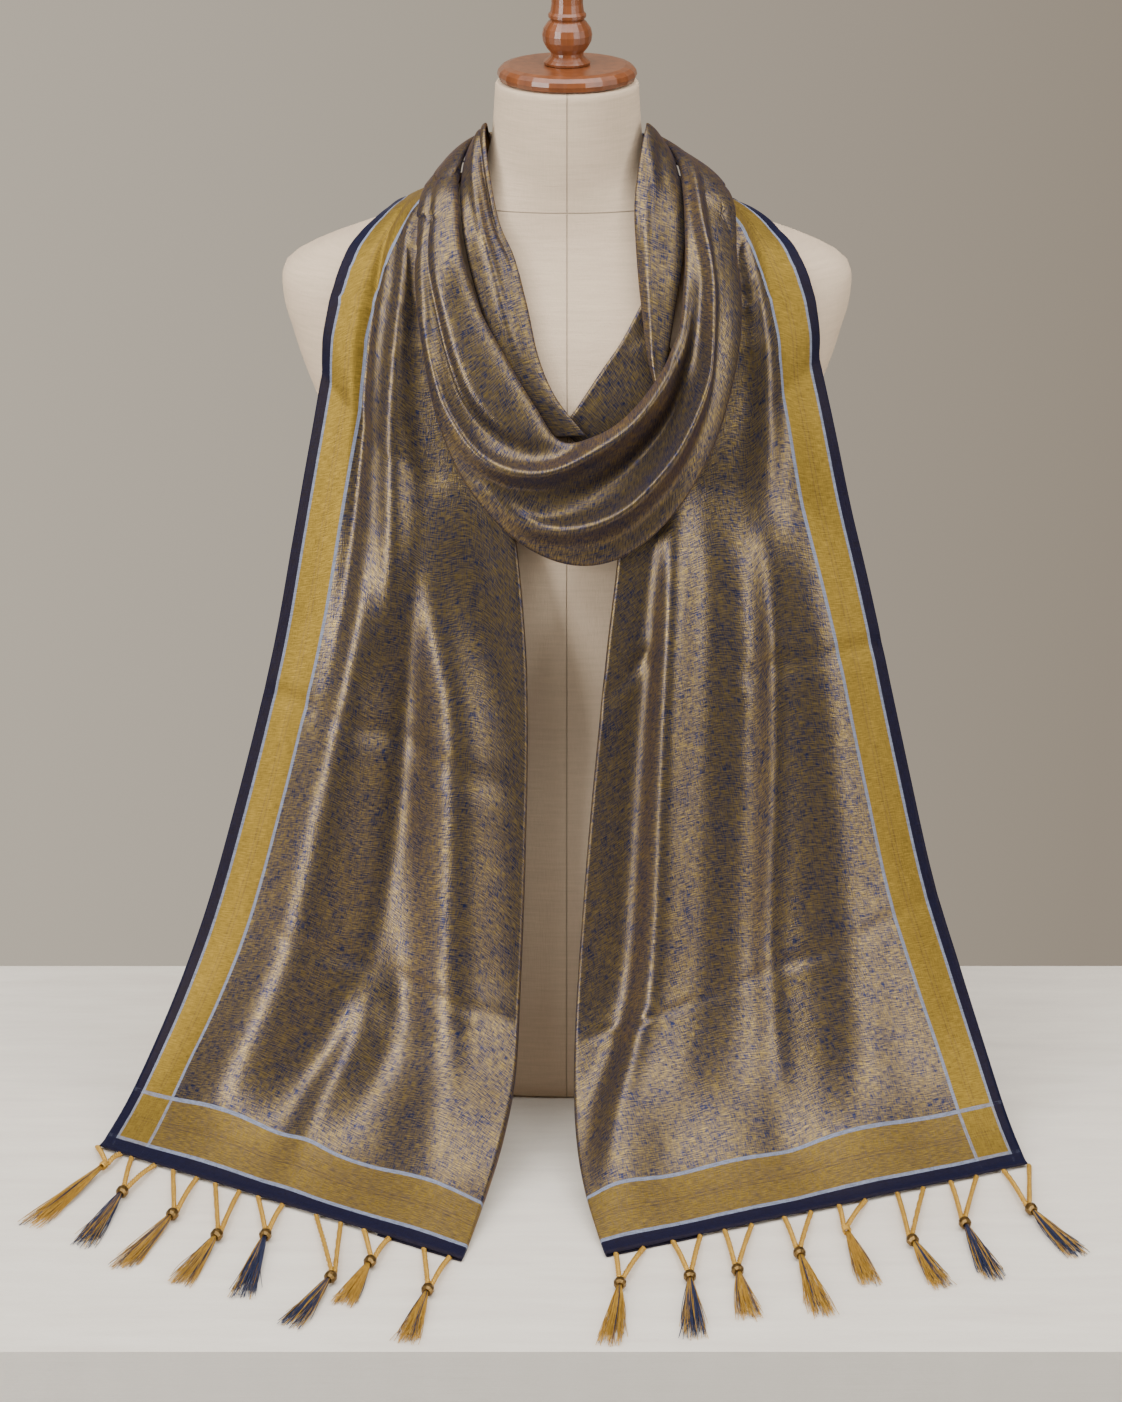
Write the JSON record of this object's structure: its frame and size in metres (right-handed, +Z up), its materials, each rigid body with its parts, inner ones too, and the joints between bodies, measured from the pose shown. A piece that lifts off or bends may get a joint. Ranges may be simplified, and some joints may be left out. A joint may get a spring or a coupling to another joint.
{
  "type": "dupatta stole on dress form",
  "caption": "Woven stole with bordered ends and beaded tassels, looped once round the neck of a limbless dress form and hanging down its front on to the table.",
  "frame": {"origin": "centre of the dress form's flat base, on the surface it stands on", "axes": "+Z up along the form, -Y towards the wearer's front, +X towards the viewer's right"},
  "size_m": [0.7519, 0.5511, 0.8548],
  "materials": {
    "cloth": "navy and gold shot weave, soft sheen",
    "gold_yarn": "twisted yarn, slight sheen",
    "navy_yarn": "twisted yarn, slight sheen",
    "bead": "dark antique metal",
    "linen": "matt plain weave",
    "wood": "satin varnish"
  },
  "bodies": {
    "root": {"dress_form": "linen", "neck_cap": "wood", "finial": "wood", "left_end": "cloth", "right_end": "cloth", "front_loop": "cloth", "inner_fold_left": "cloth", "inner_fold_right": "cloth", "neck_fold_right": "cloth", "nape_over": "cloth", "nape_under": "cloth", "tassel_left_1": "gold_yarn", "tassel_left_2": "navy_yarn", "bead_left_2": "bead", "tassel_left_3": "gold_yarn", "bead_left_3": "bead", "tassel_left_4": "gold_yarn", "bead_left_4": "bead", "tassel_left_5": "navy_yarn", "bead_left_5": "bead", "tassel_left_6": "navy_yarn", "bead_left_6": "bead", "tassel_left_7": "gold_yarn", "bead_left_7": "bead", "tassel_left_8": "gold_yarn", "bead_left_8": "bead", "tassel_right_1": "navy_yarn", "bead_right_1": "bead", "tassel_right_2": "navy_yarn", "bead_right_2": "bead", "tassel_right_3": "gold_yarn", "bead_right_3": "bead", "tassel_right_4": "gold_yarn", "tassel_right_5": "gold_yarn", "bead_right_5": "bead", "tassel_right_6": "gold_yarn", "bead_right_6": "bead", "tassel_right_7": "navy_yarn", "bead_right_7": "bead", "tassel_right_8": "gold_yarn", "bead_right_8": "bead"}
  },
  "joints": []
}
